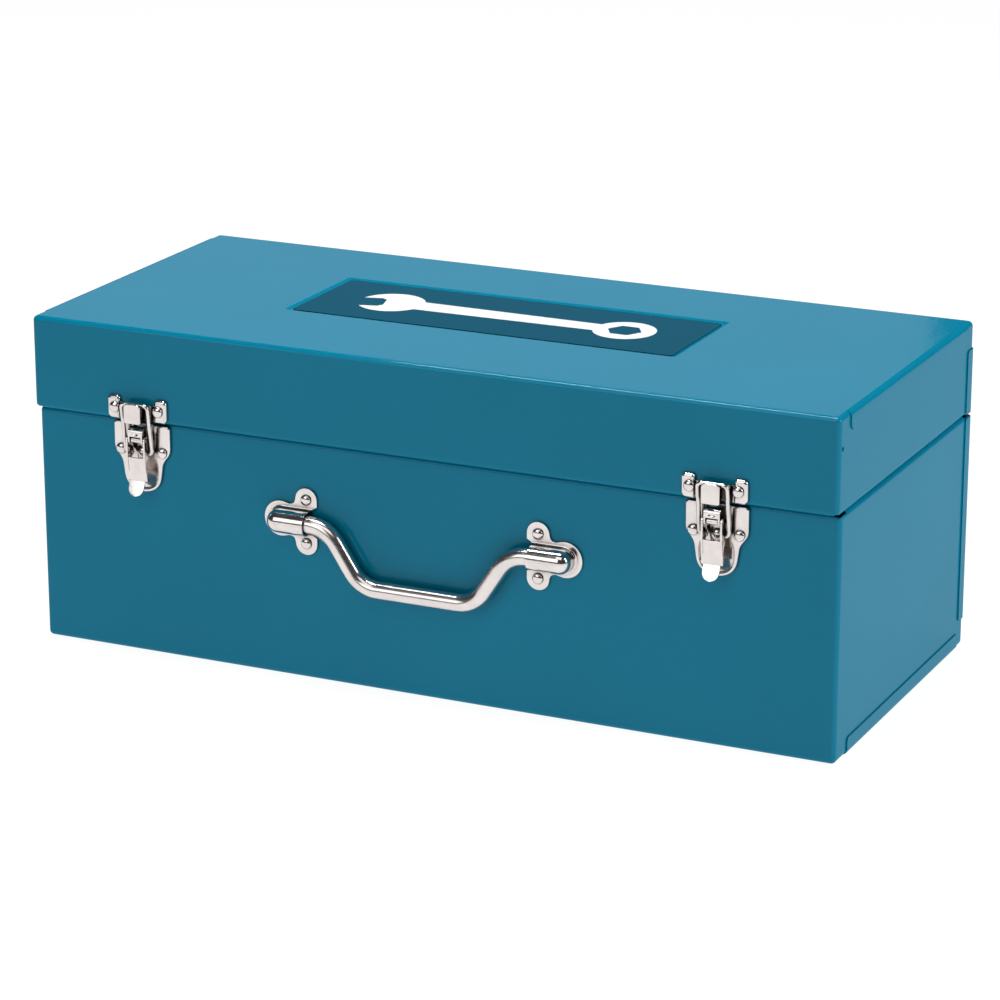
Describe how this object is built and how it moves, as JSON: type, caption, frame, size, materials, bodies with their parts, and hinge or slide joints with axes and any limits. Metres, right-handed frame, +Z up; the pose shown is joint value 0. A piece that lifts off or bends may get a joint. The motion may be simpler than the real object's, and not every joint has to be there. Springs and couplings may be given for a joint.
{
  "type": "metal tool box",
  "caption": "Pressed-steel tool box with a hinged lid, front draw latches across the seam and a swinging rod handle.",
  "frame": {"origin": "centre of the base's underside, where the box stands", "axes": "+X along the box's length to the right seen from the front, +Z up, the handle and latches face -Y"},
  "size_m": [0.5, 0.2474, 0.198],
  "materials": {
    "teal_paint": "gloss teal paint with slight orange peel",
    "label_print": "dark teal printed panel with a plain white spanner pictogram",
    "bright_nickel": "bright nickel plating on drawn wire and rod",
    "pressed_nickel": "nickel plating on pressed steel, slightly satin",
    "zinc_steel": "zinc plated steel"
  },
  "bodies": {
    "base": {"base_shell": "teal_paint", "handle_bracket_left": "pressed_nickel", "handle_rivet_left_upper": "pressed_nickel", "handle_rivet_left_lower": "pressed_nickel", "handle_bracket_right": "pressed_nickel", "handle_rivet_right_upper": "pressed_nickel", "handle_rivet_right_lower": "pressed_nickel", "latch_plate_left": "pressed_nickel", "lever_pin_left": "bright_nickel", "latch_rivet_left_left": "pressed_nickel", "latch_rivet_left_right": "pressed_nickel", "latch_rivet_left_foot": "pressed_nickel", "latch_plate_right": "pressed_nickel", "lever_pin_right": "bright_nickel", "latch_rivet_right_left": "pressed_nickel", "latch_rivet_right_right": "pressed_nickel", "latch_rivet_right_foot": "pressed_nickel", "hinge_bracket_left": "zinc_steel", "hinge_pin_left": "zinc_steel", "hinge_base_rivet_left_left": "zinc_steel", "hinge_base_rivet_left_right": "zinc_steel", "hinge_bracket_right": "zinc_steel", "hinge_pin_right": "zinc_steel", "hinge_base_rivet_right_left": "zinc_steel", "hinge_base_rivet_right_right": "zinc_steel"},
    "lid": {"lid_shell": "teal_paint", "lid_label": "label_print", "keeper_left": "pressed_nickel", "keeper_rivet_left_left": "pressed_nickel", "keeper_rivet_left_right": "pressed_nickel", "keeper_right": "pressed_nickel", "keeper_rivet_right_left": "pressed_nickel", "keeper_rivet_right_right": "pressed_nickel", "hinge_leaf_left": "zinc_steel", "hinge_lid_rivet_left_left": "zinc_steel", "hinge_lid_rivet_left_right": "zinc_steel", "hinge_leaf_right": "zinc_steel", "hinge_lid_rivet_right_left": "zinc_steel", "hinge_lid_rivet_right_right": "zinc_steel"},
    "handle": {"handle_rod": "bright_nickel"},
    "latch_lever_left": {"lever_left": "pressed_nickel"},
    "latch_bail_left": {"bail_left": "bright_nickel"},
    "latch_lever_right": {"lever_right": "pressed_nickel"},
    "latch_bail_right": {"bail_right": "bright_nickel"}
  },
  "joints": [
    {"name": "lid_hinge", "type": "hinge", "parent": "base", "child": "lid", "pos_m": [0, 0.1125, 0.1425], "axis": [-1, 0, 0], "range_deg": [0, 105]},
    {"name": "handle_swing", "type": "hinge", "parent": "base", "child": "handle", "pos_m": [0, -0.1145, 0.0955], "axis": [-1, 0, 0], "range_deg": [0, 180]},
    {"name": "lever_left_turn", "type": "hinge", "parent": "base", "child": "latch_lever_left", "pos_m": [-0.179, -0.1161, 0.1323], "axis": [-1, 0, 0], "range_deg": [0, 110]},
    {"name": "bail_left_turn", "type": "hinge", "parent": "latch_lever_left", "child": "latch_bail_left", "pos_m": [-0.179, -0.1141, 0.124], "axis": [-1, 0, 0], "range_deg": [-84, 0]},
    {"name": "lever_right_turn", "type": "hinge", "parent": "base", "child": "latch_lever_right", "pos_m": [0.179, -0.1161, 0.1323], "axis": [-1, 0, 0], "range_deg": [0, 110]},
    {"name": "bail_right_turn", "type": "hinge", "parent": "latch_lever_right", "child": "latch_bail_right", "pos_m": [0.179, -0.1141, 0.124], "axis": [-1, 0, 0], "range_deg": [-84, 0]}
  ],
  "couplings": [
    {"joint": "bail_left_turn", "follows": "lever_left_turn", "ratio": -0.76},
    {"joint": "bail_right_turn", "follows": "lever_right_turn", "ratio": -0.76}
  ]
}
